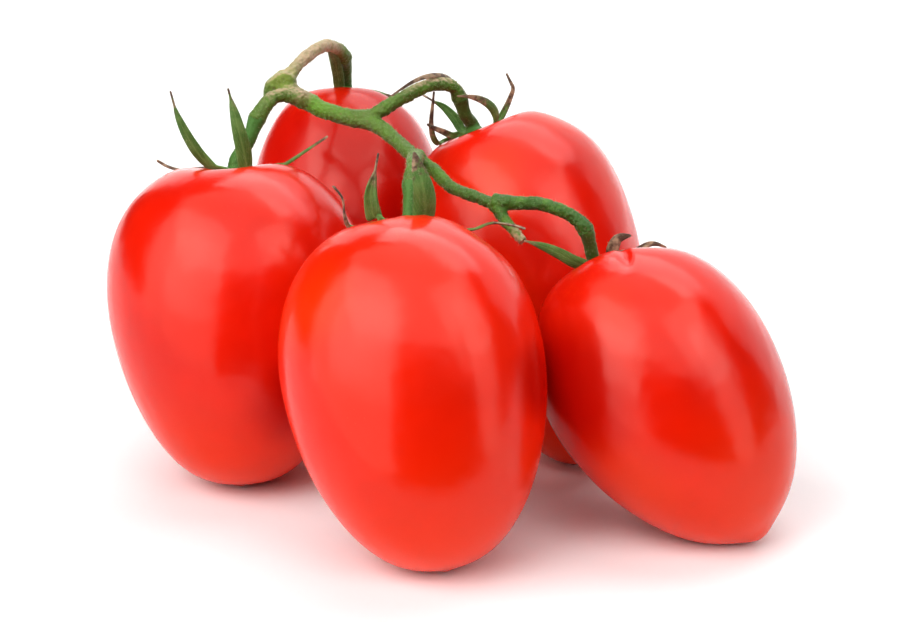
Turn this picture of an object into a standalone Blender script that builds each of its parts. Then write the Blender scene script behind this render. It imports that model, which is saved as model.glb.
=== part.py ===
"""A truss of five ripe plum tomatoes that still hang together on one green stem.

The fruits stand on a table and lean on nothing. The stem lies across their tops. Each fruit
has a dimple at its stem end, with a star of sepals in it and a short stalk that ends at a
swollen knuckle, where the fruit would break off the truss. Sizes are in millimetres below and
in metres in Blender. The table is the plane z = 0, +X is right and +Y is away from the viewer.
"""

import math

import bmesh
import bpy
from mathutils import Vector

MM = 0.001

# Fruits: where the middle stands, how far and which way the stem end leans (degrees, heading
# measured from +X towards +Y), length, width, how full the shoulder is against the other end,
# how blunt the ends are, where the dimple lies off the middle, and the nub at the far end.
FRUITS = {
    "tomato_left": {
        "at": (-44.5, -3.0), "lean": 17.0, "heading": 95.0, "length": 70.0, "width": 55.5,
        "shoulder": 0.20, "bluntness": 0.77, "dimple": (0.5, 2.0), "nub": 0.4,
    },
    "tomato_front": {
        "at": (-4.5, -48.5), "lean": 20.5, "heading": 117.0, "length": 71.0, "width": 52.5,
        "shoulder": 0.13, "bluntness": 0.84, "dimple": (4.0, 3.0), "nub": 0.4,
    },
    "tomato_right": {
        "at": (47.5, -35.0), "lean": 38.0, "heading": 149.0, "length": 65.5, "width": 48.0,
        "shoulder": 0.14, "bluntness": 0.94, "dimple": (1.5, 2.0), "nub": 1.4,
    },
    "tomato_back_right": {
        "at": (22.7, 11.8), "lean": 24.0, "heading": 137.0, "length": 81.5, "width": 47.5,
        "shoulder": 0.23, "bluntness": 0.77, "dimple": (-3.0, 1.5), "nub": 0.4,
    },
    "tomato_back_left": {
        "at": (-22.5, 49.0), "lean": 14.5, "heading": 94.0, "length": 77.0, "width": 48.0,
        "shoulder": 0.07, "bluntness": 0.84, "dimple": (0.0, 2.0), "nub": 0.4,
    },
}
FRUIT_SIDES = 32
FRUIT_RINGS = 20
DIMPLE_DEPTH = 2.0
DIMPLE_RADIUS = 5.0
NUB_RADIUS = 1.8
LOBES = 3
LOBE_HEIGHT = 0.006
FLAT_DEPTH = 0.25

# Stem: the main stem runs from the cut heel to the last fork, and on to the right fruit.
MAIN_STEM = [
    (-35.0, 20.0, 82.5), (-27.5, 16.5, 79.5), (-20.0, 12.5, 78.0), (-13.5, 8.5, 77.0),
    (-6.0, -1.5, 72.5), (3.0, -13.5, 69.0), (12.0, -19.5, 65.5),
]
MAIN_STEM_RADIUS = (2.15, 1.45)
HEEL = [(-31.5, 19.0, 81.0), (-34.0, 20.2, 82.6), (-36.0, 20.8, 82.6), (-37.8, 21.2, 81.2)]
HEEL_RADIUS = (2.5, 2.9)
STUB = [(11.0, -19.0, 65.8), (13.0, -22.0, 63.5), (14.5, -25.0, 62.2), (16.5, -27.0, 61.0)]
STUB_RADIUS = (1.5, 1.15)
TUBE_SPACING = 3.0
KNUCKLE_SWELL = 0.45
KNUCKLE_LENGTH = 1.8
FORK_SWELL = 0.5
FORK_LENGTH = 3.0
JOINT_GAP = 0.3

# Pedicels: from the main stem to the knuckle, and from the knuckle towards the fruit. The last
# point, in the calyx, follows from the fruit's own place and lean.
PEDICELS = {
    "tomato_left": {
        "to_knuckle": [(-28.0, 17.0, 80.0), (-34.5, 16.5, 81.5), (-38.0, 14.5, 80.5),
                       (-40.5, 12.5, 77.0)],
        "to_calyx": [(-42.2, 10.8, 73.0)],
        "radius": 1.6,
    },
    "tomato_front": {
        "to_knuckle": [(-5.0, -3.5, 72.5), (-5.5, -14.0, 74.0), (-5.7, -25.0, 75.0),
                       (-6.2, -31.0, 73.0)],
        "to_calyx": [],
        "radius": 1.5,
    },
    "tomato_right": {
        "to_knuckle": [(11.0, -19.0, 66.0), (16.5, -21.5, 66.5), (20.5, -23.5, 66.8),
                       (26.5, -25.2, 65.0), (29.8, -26.0, 62.0)],
        "to_calyx": [],
        "radius": 1.4,
    },
    "tomato_back_right": {
        "to_knuckle": [(-14.5, 8.5, 77.0), (-10.0, 10.5, 81.0), (-2.5, 14.5, 84.2),
                       (2.8, 17.8, 83.4), (5.0, 19.5, 80.5)],
        "to_calyx": [(6.2, 21.2, 76.5)],
        "radius": 1.5,
    },
    "tomato_back_left": {
        "to_knuckle": [(-35.0, 20.5, 83.5), (-32.0, 26.5, 86.8), (-28.0, 36.0, 88.6),
                       (-25.2, 45.0, 87.4), (-23.0, 52.5, 83.5)],
        "to_calyx": [],
        "radius": 1.4,
    },
}

# Sepals: the blade's middle line, measured from the bottom of the fruit's dimple, its width,
# and the way its flat side faces (or None to face the stalk).
VIEWER = (0.0, -1.0, 0.2)
SEPALS = {
    "tomato_left": [
        ([(-4.5, -1.5, 3.2), (-9.5, -3.0, 8.5), (-12.0, -4.0, 14.0), (-13.5, -4.0, 19.5)],
         2.8, VIEWER),
        ([(1.2, -2.5, 4.2), (1.0, -3.5, 8.5), (0.0, -4.0, 15.5), (-1.0, -4.5, 20.0)],
         3.0, VIEWER),
        ([(-4.5, 2.0, 2.2), (-9.0, 3.5, 2.2), (-14.0, 5.0, 1.6), (-18.0, 5.0, 2.0)], 2.2, None),
        ([(4.5, 0.5, 2.6), (10.0, 0.0, 3.4), (15.0, -1.0, 6.2), (20.0, -2.0, 9.0)], 1.8, None),
        ([(0.5, 4.5, 2.2), (1.0, 9.0, 1.2), (1.5, 13.5, -0.4)], 2.6, None),
    ],
    "tomato_front": [
        ([(-4.0, 0.5, 2.0), (-7.4, 0.2, 3.0), (-8.2, 0.2, 6.5), (-8.0, 0.5, 10.0),
          (-7.0, 1.0, 15.0)], 3.6, VIEWER),
        ([(2.4, -1.8, 3.8), (3.2, -3.0, 8.5), (2.6, -3.0, 12.5), (1.2, -3.0, 15.5)],
         3.8, VIEWER),
        ([(-3.5, 2.5, 1.4), (-8.0, 3.0, 0.8), (-12.8, 2.0, 1.4), (-14.2, 1.0, 5.5),
          (-16.0, 1.0, 8.0)], 1.6, VIEWER),
        ([(4.5, 1.5, 2.2), (12.5, 1.5, 0.8), (16.0, 0.5, 1.2), (19.5, 0.0, 1.0),
          (22.5, -1.0, -1.0)], 1.2, None),
        ([(-0.5, 4.5, 1.0), (-1.0, 9.0, -0.6), (-1.5, 13.0, -3.0)], 2.4, None),
    ],
    "tomato_right": [
        ([(-3.5, -1.5, 1.6), (-8.0, -3.0, 4.0), (-12.0, -4.2, 6.2), (-15.0, -5.5, 7.5)],
         2.4, VIEWER),
        ([(2.2, 1.2, 3.0), (3.0, 2.0, 5.4), (4.6, 2.0, 6.6), (7.0, 2.0, 6.2)], 2.6, None),
        ([(3.2, 3.6, 2.8), (8.0, 6.0, 3.5), (11.5, 7.5, 3.9), (15.0, 9.0, 2.4)], 2.2, None),
        ([(-2.0, 4.5, 0.0), (-4.0, 8.5, -1.8), (-5.5, 12.0, -4.0)], 2.2, None),
        ([(0.5, 5.0, 1.4), (2.0, 10.0, 0.2), (3.0, 14.0, -1.8)], 2.2, None),
    ],
    "tomato_back_right": [
        ([(-4.0, -1.2, 1.8), (-8.4, -2.4, 0.4), (-10.6, -3.0, 1.8), (-10.6, -3.0, 5.5),
          (-10.0, -3.0, 9.5)], 1.9, VIEWER),
        ([(-4.0, 0.4, 1.2), (-7.8, 0.4, 0.8), (-11.8, 0.4, 1.6)], 2.2, VIEWER),
        ([(-2.6, 2.4, 1.6), (-6.0, 3.0, 3.8), (-9.0, 3.0, 5.6), (-12.5, 3.0, 7.5)],
         2.6, VIEWER),
        ([(2.8, -0.8, 3.6), (4.0, -1.8, 5.0), (2.2, -4.6, 7.4), (-1.2, -7.2, 8.6),
          (-5.0, -8.8, 8.6)], 1.6, None),
        ([(2.6, 1.2, 3.4), (5.4, 1.8, 4.9), (6.8, 2.0, 6.6), (7.8, 2.0, 9.6),
          (6.0, 2.0, 13.0)], 1.8, VIEWER),
        ([(-0.5, 3.5, 2.4), (-3.5, 5.0, 6.5), (-7.0, 3.4, 11.2), (-12.0, 1.4, 12.6),
          (-16.5, 0.4, 11.2), (-20.5, -1.6, 9.0)], 1.8, VIEWER),
    ],
    "tomato_back_left": [
        ([(-2.0, -1.8, 3.4), (-2.7, -3.0, 8.8), (-4.0, -3.5, 13.0)], 2.6, VIEWER),
        ([(-3.5, 3.0, 1.4), (-8.0, 7.0, 0.0), (-11.0, 10.0, -2.4)], 2.4, None),
        ([(3.5, 3.0, 1.4), (8.0, 7.0, 0.0), (11.0, 10.0, -2.4)], 2.4, None),
        ([(0.0, 4.5, 1.4), (0.0, 9.5, -0.4), (0.0, 14.0, -3.0)], 2.4, None),
        ([(4.5, 0.4, 2.2), (9.0, 1.5, 1.2), (13.0, 2.5, -0.8)], 2.0, None),
    ],
}
SEPAL_THICKNESS = 0.8
SEPAL_TIP_WIDTH = 0.5
SEPAL_SPACING = 2.8
SEPAL_KEEL = 0.16
SEPAL_TWIST_END = 0.45
DISC_RADIUS = 2.2
DISC_TOP_RADIUS = 1.6
DISC_THICKNESS = 1.4
DISC_LIFT = 1.0


def clear_scene():
    for old in list(bpy.data.objects):
        bpy.data.objects.remove(old, do_unlink=True)


def make_collection(name):
    made = bpy.data.collections.new(name)
    bpy.context.scene.collection.children.link(made)
    return made


def make_material(name, colour, roughness):
    material = bpy.data.materials.new(name)
    material.use_nodes = True
    shader = material.node_tree.nodes["Principled BSDF"]
    shader.inputs["Base Color"].default_value = (*colour, 1.0)
    shader.inputs["Roughness"].default_value = roughness
    shader.inputs["Metallic"].default_value = 0.0
    return material


def baked_mesh(thing, name):
    """The mesh that an object's modifiers or curve settings make, with its doubles welded."""
    depsgraph = bpy.context.evaluated_depsgraph_get()
    mesh = bpy.data.meshes.new_from_object(thing.evaluated_get(depsgraph))
    mesh.name = name
    work = bmesh.new()
    work.from_mesh(mesh)
    bmesh.ops.remove_doubles(work, verts=work.verts, dist=0.000001)
    bmesh.ops.recalc_face_normals(work, faces=work.faces)
    work.to_mesh(mesh)
    work.free()
    return mesh


def bake_object(thing, collection):
    """Replaces a curve or a modified object by a plain mesh object in the same place."""
    mesh = baked_mesh(thing, thing.name)
    made = bpy.data.objects.new(thing.name, mesh)
    made.matrix_world = thing.matrix_world.copy()
    collection.objects.link(made)
    bpy.data.objects.remove(thing, do_unlink=True)
    return made


def fuse(base, pieces, name, material, collection):
    """Joins the pieces to the base by one Boolean union and drops the loose pieces."""
    joining = make_collection(name + "_pieces")
    for piece in pieces:
        for owner in list(piece.users_collection):
            owner.objects.unlink(piece)
        joining.objects.link(piece)
    union = base.modifiers.new("union", "BOOLEAN")
    union.operation = "UNION"
    union.operand_type = "COLLECTION"
    union.collection = joining
    union.solver = "EXACT"
    made = bake_object(base, collection)
    made.name = name
    made.data.materials.clear()
    made.data.materials.append(material)
    for piece in pieces:
        bpy.data.objects.remove(piece, do_unlink=True)
    bpy.data.collections.remove(joining)
    shade_round(made)
    return made


def shade_round(thing):
    thing.data.shade_smooth()
    thing.data.set_sharp_from_angle(angle=math.radians(50.0))


def fruit_profile(fruit, turn):
    """Radius and height of the skin, in mm, at an angle from the stem end (0) to the far end."""
    fullness = 1.0 + fruit["shoulder"] * math.cos(turn)
    radius = 0.5 * fruit["width"] * math.sin(turn) ** fruit["bluntness"] * fullness
    height = 0.5 * fruit["length"] * math.cos(turn)
    if turn > 0.5 * math.pi:
        height -= fruit["nub"] * math.exp(-((radius / NUB_RADIUS) ** 2))
    return radius, height


def shoulder_height(fruit, radius):
    """Height of the undimpled skin at a small distance from the fruit's middle line."""
    turn = 0.0
    while fruit_profile(fruit, turn)[0] < radius:
        turn += 0.002
    return fruit_profile(fruit, turn)[1]


def lean_direction(fruit):
    lean = math.radians(fruit["lean"])
    heading = math.radians(fruit["heading"])
    flat = math.sin(lean)
    return Vector((flat * math.cos(heading), flat * math.sin(heading), math.cos(lean)))


def lean_rotation(fruit):
    return Vector((0.0, 0.0, 1.0)).rotation_difference(lean_direction(fruit))


def make_fruit_mesh(name, fruit, collection):
    """Turns the profile about its own axis, then presses the dimple in and raises the lobes."""
    points = []
    for ring in range(FRUIT_RINGS + 1):
        turn = 0.5 * math.pi * (1.0 - math.cos(math.pi * ring / FRUIT_RINGS))
        radius, height = fruit_profile(fruit, turn)
        if ring in (0, FRUIT_RINGS):
            radius = 0.0
        points.append((radius * MM, 0.0, height * MM))
    edges = [(i, i + 1) for i in range(FRUIT_RINGS)]
    outline = bpy.data.meshes.new(name + "_outline")
    outline.from_pydata(points, edges, [])
    turned = bpy.data.objects.new(name, outline)
    collection.objects.link(turned)
    screw = turned.modifiers.new("turn", "SCREW")
    screw.axis = "Z"
    screw.angle = 2.0 * math.pi
    screw.steps = FRUIT_SIDES
    screw.render_steps = FRUIT_SIDES
    screw.use_merge_vertices = True
    screw.merge_threshold = 0.00001
    made = bake_object(turned, collection)
    made.name = name

    half = 0.5 * fruit["length"] * MM
    for vertex in made.data.vertices:
        x, y, z = vertex.co
        middle = max(0.0, 1.0 - (z / half) ** 2)
        lobe = 1.0 + LOBE_HEIGHT * middle * math.cos(LOBES * math.atan2(y, x) + fruit["width"])
        if z > 0.0:
            dx = x - fruit["dimple"][0] * MM
            dy = y - fruit["dimple"][1] * MM
            off = math.hypot(dx, dy) / (DIMPLE_RADIUS * MM)
            z -= DIMPLE_DEPTH * MM * math.exp(-(off ** 2))
        vertex.co = (x * lobe, y * lobe, z)
    return made


def place_fruit(thing, fruit):
    """Leans the fruit and lets it down until the table would cut its small flat."""
    turn = lean_rotation(fruit)
    thing.rotation_mode = "QUATERNION"
    thing.rotation_quaternion = turn
    lowest = min((turn @ vertex.co).z for vertex in thing.data.vertices)
    x, y = fruit["at"]
    thing.location = (x * MM, y * MM, -lowest - FLAT_DEPTH * MM)


def make_table_cutter(collection):
    """A block whose top is the table: it cuts the small flat that each fruit stands on."""
    bpy.ops.mesh.primitive_cube_add(size=1.0, location=(0.0, 0.0, -0.010))
    block = bpy.context.object
    block.name = "table_cutter"
    block.scale = (0.25, 0.25, 0.020)
    bpy.ops.object.transform_apply(location=False, rotation=False, scale=True)
    for owner in list(block.users_collection):
        owner.objects.unlink(block)
    collection.objects.link(block)
    block.hide_render = True
    block.display_type = "WIRE"
    return block


def make_fruits(parts, cutters):
    skin = make_material("tomato_skin", (0.72, 0.020, 0.008), 0.22)
    table = make_table_cutter(cutters)
    for name, fruit in FRUITS.items():
        thing = make_fruit_mesh(name, fruit, parts)
        place_fruit(thing, fruit)
        thing.data.materials.append(skin)
        shade_round(thing)
        cut = thing.modifiers.new("flat", "BOOLEAN")
        cut.operation = "DIFFERENCE"
        cut.object = table
        cut.solver = "EXACT"


def dimple_bottom(name):
    """The lowest point of a fruit's dimple, in world metres."""
    fruit = FRUITS[name]
    dx, dy = fruit["dimple"]
    height = shoulder_height(fruit, math.hypot(dx, dy)) - DIMPLE_DEPTH
    thing = bpy.data.objects[name]
    local = Vector((dx * MM, dy * MM, height * MM))
    return thing.location + thing.rotation_quaternion @ local


def smooth_route(points, spacing):
    """Points about one spacing apart on a smooth curve through the given points."""
    padded = [points[0] * 2.0 - points[1], *points, points[-1] * 2.0 - points[-2]]
    route = []
    for i in range(1, len(padded) - 2):
        before, start, end, after = padded[i - 1:i + 3]
        steps = max(1, round((end - start).length / spacing))
        for step in range(steps):
            t = step / steps
            route.append(0.5 * (
                2.0 * start
                + (end - before) * t
                + (2.0 * before - 5.0 * start + 4.0 * end - after) * t ** 2
                + (3.0 * start - 3.0 * end + after - before) * t ** 3
            ))
    route.append(points[-1].copy())
    return route


def lengths_along(route):
    along = [0.0]
    for a, b in zip(route, route[1:]):
        along.append(along[-1] + (b - a).length)
    return along


def make_tube(name, route, radii, collection):
    """A round stem through the route's points with its own radius at each, ends capped."""
    curve = bpy.data.curves.new(name, "CURVE")
    curve.dimensions = "3D"
    curve.bevel_depth = MM
    curve.bevel_resolution = 3
    curve.use_fill_caps = True
    spline = curve.splines.new("POLY")
    spline.points.add(len(route) - 1)
    for point, place, radius in zip(spline.points, route, radii):
        point.co = (*place, 1.0)
        point.radius = radius / MM
    thing = bpy.data.objects.new(name, curve)
    collection.objects.link(thing)
    return bake_object(thing, collection)


def in_metres(points):
    return [Vector(point) * MM for point in points]


def swell(distance, height, length):
    return height * MM * math.exp(-((distance / (length * MM)) ** 2))


def split_pedicel(name):
    """The pedicel's smooth route cut in two at the knuckle, with a narrow gap between them."""
    pedicel = PEDICELS[name]
    upper = in_metres(pedicel["to_knuckle"])
    axis = lean_direction(FRUITS[name])
    seat = dimple_bottom(name) + axis * (DISC_LIFT + 0.5 * DISC_THICKNESS) * MM
    lower = in_metres(pedicel["to_calyx"]) + [seat + axis * 2.0 * MM, seat]
    whole = smooth_route(upper + lower, TUBE_SPACING * MM)
    knuckle = upper[-1]
    at = min(range(len(whole)), key=lambda i: (whole[i] - knuckle).length)
    along = (whole[at + 1] - whole[at - 1]).normalized()
    half = 0.5 * JOINT_GAP * MM
    collar = 0.8 * MM
    stem_side = whole[:at] + [knuckle - along * collar, knuckle - along * half]
    fruit_side = [knuckle + along * half, knuckle + along * collar] + whole[at + 1:]
    return stem_side, fruit_side


def pedicel_radii(name, route, knuckle_first):
    radius = PEDICELS[name]["radius"] * MM
    along = lengths_along(route)
    radii = []
    for s in along:
        to_knuckle = s if knuckle_first else along[-1] - s
        size = radius + swell(to_knuckle, KNUCKLE_SWELL, KNUCKLE_LENGTH)
        if not knuckle_first:
            size += swell(s, FORK_SWELL, FORK_LENGTH)
        radii.append(size)
    return radii


def tapered(route, ends):
    along = lengths_along(route)
    return [(ends[0] + (ends[1] - ends[0]) * s / along[-1]) * MM for s in along]


def make_truss_stem(parts):
    """The main stem with its cut heel, its dried stub and the five pedicels, in one piece."""
    green = make_material("stem_green", (0.095, 0.205, 0.035), 0.6)
    route = smooth_route(in_metres(MAIN_STEM), TUBE_SPACING * MM)
    base = make_tube("main_stem", route, tapered(route, MAIN_STEM_RADIUS), parts)
    pieces = []
    for name, points, ends in (("heel", HEEL, HEEL_RADIUS), ("stub", STUB, STUB_RADIUS)):
        route = smooth_route(in_metres(points), TUBE_SPACING * MM)
        pieces.append(make_tube(name, route, tapered(route, ends), parts))
    for name in PEDICELS:
        stem_side, _ = split_pedicel(name)
        radii = pedicel_radii(name, stem_side, False)
        pieces.append(make_tube("pedicel_" + name, stem_side, radii, parts))
    fuse(base, pieces, "truss_stem", green, parts)


def sepal_width(share, widest):
    """Blade width in mm at a share of its length from the root: lance-shaped."""
    shape = 1.32 * (1.0 - share) ** 0.8 * (0.62 + 1.15 * share)
    return max(SEPAL_TIP_WIDTH, widest * shape)


def make_sepal(name, route, widest, axis, facing, collection):
    """A thin keeled blade along a route, three points wide, thickened with Solidify.

    It lies flat on the fruit at its root and twists to show its flat side further out.
    """
    along = lengths_along(route)
    root_side = (route[1] - route[0]).cross(axis).normalized()
    tip_side = root_side
    if facing is not None:
        tip_side = (route[-1] - route[len(route) // 2]).cross(Vector(facing)).normalized()
        if tip_side.dot(root_side) < 0.0:
            tip_side = -tip_side
    vertices = []
    faces = []
    for i, place in enumerate(route):
        ahead = (route[min(i + 1, len(route) - 1)] - route[max(i - 1, 0)]).normalized()
        twist = min(1.0, along[i] / along[-1] / SEPAL_TWIST_END)
        side = root_side.lerp(tip_side, twist)
        side = (side - ahead * side.dot(ahead)).normalized()
        out = side.cross(ahead).normalized()
        half = 0.5 * sepal_width(along[i] / along[-1], widest) * MM
        keel = out * (2.0 * half * SEPAL_KEEL)
        vertices += [place - side * half, place - keel, place + side * half]
    for i in range(len(route) - 1):
        a = 3 * i
        faces += [(a, a + 1, a + 4, a + 3), (a + 1, a + 2, a + 5, a + 4)]
    mesh = bpy.data.meshes.new(name)
    mesh.from_pydata(vertices, [], faces)
    blade = bpy.data.objects.new(name, mesh)
    collection.objects.link(blade)
    thick = blade.modifiers.new("thickness", "SOLIDIFY")
    thick.thickness = SEPAL_THICKNESS * MM
    thick.offset = 0.0
    thick.use_even_offset = True
    return bake_object(blade, collection)


def make_disc(seat, axis, collection):
    """The small green cushion that the sepals and the stalk grow from."""
    bpy.ops.mesh.primitive_cone_add(
        vertices=14, radius1=DISC_RADIUS * MM, radius2=DISC_TOP_RADIUS * MM,
        depth=DISC_THICKNESS * MM, end_fill_type="NGON", location=seat,
        rotation=Vector((0.0, 0.0, 1.0)).rotation_difference(axis).to_euler())
    disc = bpy.context.object
    disc.name = "disc"
    for owner in list(disc.users_collection):
        owner.objects.unlink(disc)
    collection.objects.link(disc)
    return disc


def make_calyx(name, green, parts):
    """One fruit's star of sepals, fused with its disc and its short stalk."""
    bottom = dimple_bottom(name)
    axis = lean_direction(FRUITS[name])
    seat = bottom + axis * (DISC_LIFT + 0.5 * DISC_THICKNESS) * MM
    _, fruit_side = split_pedicel(name)
    radii = pedicel_radii(name, fruit_side, True)
    stalk = make_tube("stalk", fruit_side, radii, parts)
    pieces = [make_disc(seat, axis, parts)]
    for i, (points, widest, facing) in enumerate(SEPALS[name]):
        line = [bottom + Vector(point) * MM for point in points]
        outward = line[0] - seat
        outward -= axis * outward.dot(axis)
        root = seat + outward.normalized() * 0.3 * MM
        route = smooth_route([root, *line], SEPAL_SPACING * MM)
        pieces.append(make_sepal("sepal_%d" % i, route, widest, axis, facing, parts))
    fuse(stalk, pieces, name.replace("tomato", "calyx"), green, parts)


def make_calyxes(parts):
    green = make_material("calyx_green", (0.065, 0.140, 0.030), 0.6)
    for name in SEPALS:
        make_calyx(name, green, parts)


clear_scene()
truss = make_collection("tomato_truss")
tools = make_collection("cutters")
make_fruits(truss, tools)
bpy.context.view_layer.update()
make_truss_stem(truss)
make_calyxes(truss)
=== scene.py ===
"""A truss of five ripe plum tomatoes that still hang together on one green stem.

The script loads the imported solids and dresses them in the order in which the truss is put
together: the five fruits, the stem, the calyx on each fruit, and the down on stem and sepals.
The table, the light and the camera follow. Sizes are in millimetres in the tables and in
metres in Blender. The table is the plane z = 0, +X is right and +Y is away from the viewer.
"""

import math

import bpy
import numpy as np
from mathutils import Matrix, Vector, noise


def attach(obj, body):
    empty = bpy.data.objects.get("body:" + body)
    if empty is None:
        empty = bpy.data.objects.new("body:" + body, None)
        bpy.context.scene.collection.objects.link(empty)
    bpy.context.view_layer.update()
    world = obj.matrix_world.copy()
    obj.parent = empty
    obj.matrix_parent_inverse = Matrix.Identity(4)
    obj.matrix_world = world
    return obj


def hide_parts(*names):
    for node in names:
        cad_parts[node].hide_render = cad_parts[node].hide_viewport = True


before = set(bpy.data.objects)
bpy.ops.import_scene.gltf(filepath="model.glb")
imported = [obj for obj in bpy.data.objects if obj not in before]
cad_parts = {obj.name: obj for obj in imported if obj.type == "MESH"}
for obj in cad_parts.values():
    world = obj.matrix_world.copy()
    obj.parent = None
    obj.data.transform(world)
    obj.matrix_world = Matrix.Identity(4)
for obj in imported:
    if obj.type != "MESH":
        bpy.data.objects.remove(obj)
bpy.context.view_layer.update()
bpy.ops.object.select_all(action="DESELECT")


# The five fruits are ripe plum tomatoes, taut with juice, in a thin waxy red skin. Each grew
# round three seed chambers, which show as very low lobes. It has a hollow with fine furrows at
# the stem end, a small dry scar at the other, and a little flat where it stands on the table.
MM = 0.001

# For each fruit: where it stands, its lean and heading in degrees, its length and width, how
# full its shoulder and how blunt its ends are, where its calyx sits, and the height and radius
# of the nub at its far end. Then the hollow's place, depth and reach, the lift of the shoulder
# round it, its slope to x and to y and its radius, and the grooves. A groove has a depth, a
# bearing, a width in radians, how far out its middle lies, its reach along, and its bend. Last
# come how deep the red is, which is partly painted shade and deepest on the back fruits, and
# the place and reach of a spot of painted shade, a darker red on the side that lies in shade.
FRUITS = {
    "left": {
        "at": (-44.5, -3.0), "lean": 17.0, "heading": 95.0, "length": 70.0, "width": 55.5,
        "shoulder": 0.20, "bluntness": 0.77, "calyx_at": (0.5, 2.0), "nub": (0.4, 1.8),
        "hollow": (0.5, 2.0, 1.5, 6.7), "rim": (0.93, 0.13, 0.28, 13.3),
        "grooves": [(2.07, -1.79, 0.64, 9.0, 6.0, 0.0)], "deep_red": 0.40,
        "painted_shade": ((15.0, -18.0, -16.0), 14.0),
    },
    "front": {
        "at": (-4.5, -48.5), "lean": 20.5, "heading": 117.0, "length": 71.0, "width": 52.5,
        "shoulder": 0.13, "bluntness": 0.84, "calyx_at": (4.0, 3.0), "nub": (0.4, 1.8),
        "hollow": (4.0, 3.0, 3.4, 3.5), "rim": (-0.78, -0.85, -0.45, 15.1),
        "grooves": [(0.50, -2.35, 0.55, 9.0, 6.0, 0.0)], "deep_red": 0.00,
        "painted_shade": ((24.8, -10.5, -1.0), 11.0),
    },
    "right": {
        "at": (47.5, -35.0), "lean": 38.0, "heading": 149.0, "length": 65.5, "width": 48.0,
        "shoulder": 0.14, "bluntness": 0.94, "calyx_at": (1.5, 2.0), "nub": (1.5, 4.0),
        "hollow": (1.5, 2.0, 2.6, 5.0), "rim": (0.27, -0.38, -0.71, 12.4),
        "grooves": [(1.70, -0.34, 0.53, 9.0, 6.0, 0.0), (2.10, -1.12, 0.075, 13.5, 3.3, -0.047)],
        "deep_red": 0.50, "painted_shade": ((-15.0, -17.0, 12.0), 19.0),
    },
    "back_right": {
        "at": (22.7, 11.8), "lean": 24.0, "heading": 137.0, "length": 81.5, "width": 47.5,
        "shoulder": 0.23, "bluntness": 0.77, "calyx_at": (-4.1, 1.5), "nub": (0.4, 1.8),
        "hollow": (-2.2, -2.3, 4.1, 7.75), "rim": (-0.81, -0.49, 0.11, 18.2),
        "grooves": [], "deep_red": 0.60, "painted_shade": ((-14.0, -16.0, -10.0), 16.0),
    },
    "back_left": {
        "at": (-22.5, 49.0), "lean": 14.5, "heading": 94.0, "length": 77.0, "width": 48.0,
        "shoulder": 0.07, "bluntness": 0.84, "calyx_at": (0.0, 2.0), "nub": (0.4, 1.8),
        "hollow": (0.0, 2.0, 1.5, 4.1), "rim": (1.02, -0.27, -0.46, 14.4),
        "grooves": [(1.97, -0.29, 0.33, 9.0, 6.0, 0.0)], "deep_red": 1.00,
        "painted_shade": ((0.0, -20.0, -10.0), 14.0),
    },
}
FRUIT_SIDES = 64
FRUIT_RINGS = 44
RIM_SPREAD = 6.0
CALYX_DEPTH = 2.0
LOBES = 3
LOBE_HEIGHT = 0.007
SWAY_HEIGHT = 0.004
FURROWS = 13
FURROW_AT = 6.0
FURROW_REACH = 3.2
FURROW_DEPTH = 0.16
FURROW_WANDER = 2.0
FLAT_DEPTH = 0.25

SKIN_RED = (0.82, 0.018, 0.0008)
SKIN_DEEP_RED = (0.50, 0.0065, 0.0010)
SKIN_ORANGE_RED = (0.78, 0.050, 0.0010)
SKIN_PORE = (0.88, 0.16, 0.045)
SCAR_BROWN = (0.33, 0.085, 0.030)


def fruit_profile(fruit, turn):
    """Radius and height of the skin, in mm, at an angle from the stem end (0) to the far end."""
    fullness = 1.0 + fruit["shoulder"] * math.cos(turn)
    radius = 0.5 * fruit["width"] * math.sin(turn) ** fruit["bluntness"] * fullness
    height = 0.5 * fruit["length"] * math.cos(turn)
    if turn > 0.5 * math.pi:
        nub_height, nub_radius = fruit["nub"]
        height -= nub_height * math.exp(-((radius / nub_radius) ** 2))
    return radius, height


def stem_end_shape(fruit, x, y):
    """How far the skin round the stem end lies above the plain outline, in mm.

    There is the hollow that the calyx sits in, the shoulder round it, which is higher on one
    side, and a groove or two that run out between the seed chambers.
    """
    hollow_x, hollow_y, depth, reach = fruit["hollow"]
    lift, lift_x, lift_y, rim_radius = fruit["rim"]
    x -= hollow_x
    y -= hollow_y
    off = max(1e-6, math.hypot(x, y))
    rise = -depth * math.exp(-((off / reach) ** 2))
    on_rim = math.exp(-(((off - rim_radius) / RIM_SPREAD) ** 2))
    rise += on_rim * (lift + (lift_x * x + lift_y * y) / off)
    for groove_depth, bearing, width, middle, length, bend in fruit["grooves"]:
        bearing += bend * (off - middle)
        turn = math.remainder(math.atan2(y, x) - bearing, 2.0 * math.pi)
        along = math.exp(-(((off - middle) / length) ** 2))
        rise -= groove_depth * along * math.exp(-((turn / width) ** 2))
    return rise


def lean_direction(fruit):
    lean = math.radians(fruit["lean"])
    heading = math.radians(fruit["heading"])
    flat = math.sin(lean)
    return Vector((flat * math.cos(heading), flat * math.sin(heading), math.cos(lean)))


def keep_only_selected(thing):
    bpy.ops.object.select_all(action="DESELECT")
    thing.select_set(True)
    bpy.context.view_layer.objects.active = thing


def apply_modifiers(thing):
    keep_only_selected(thing)
    for modifier in list(thing.modifiers):
        bpy.ops.object.modifier_apply(modifier=modifier.name)


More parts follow.
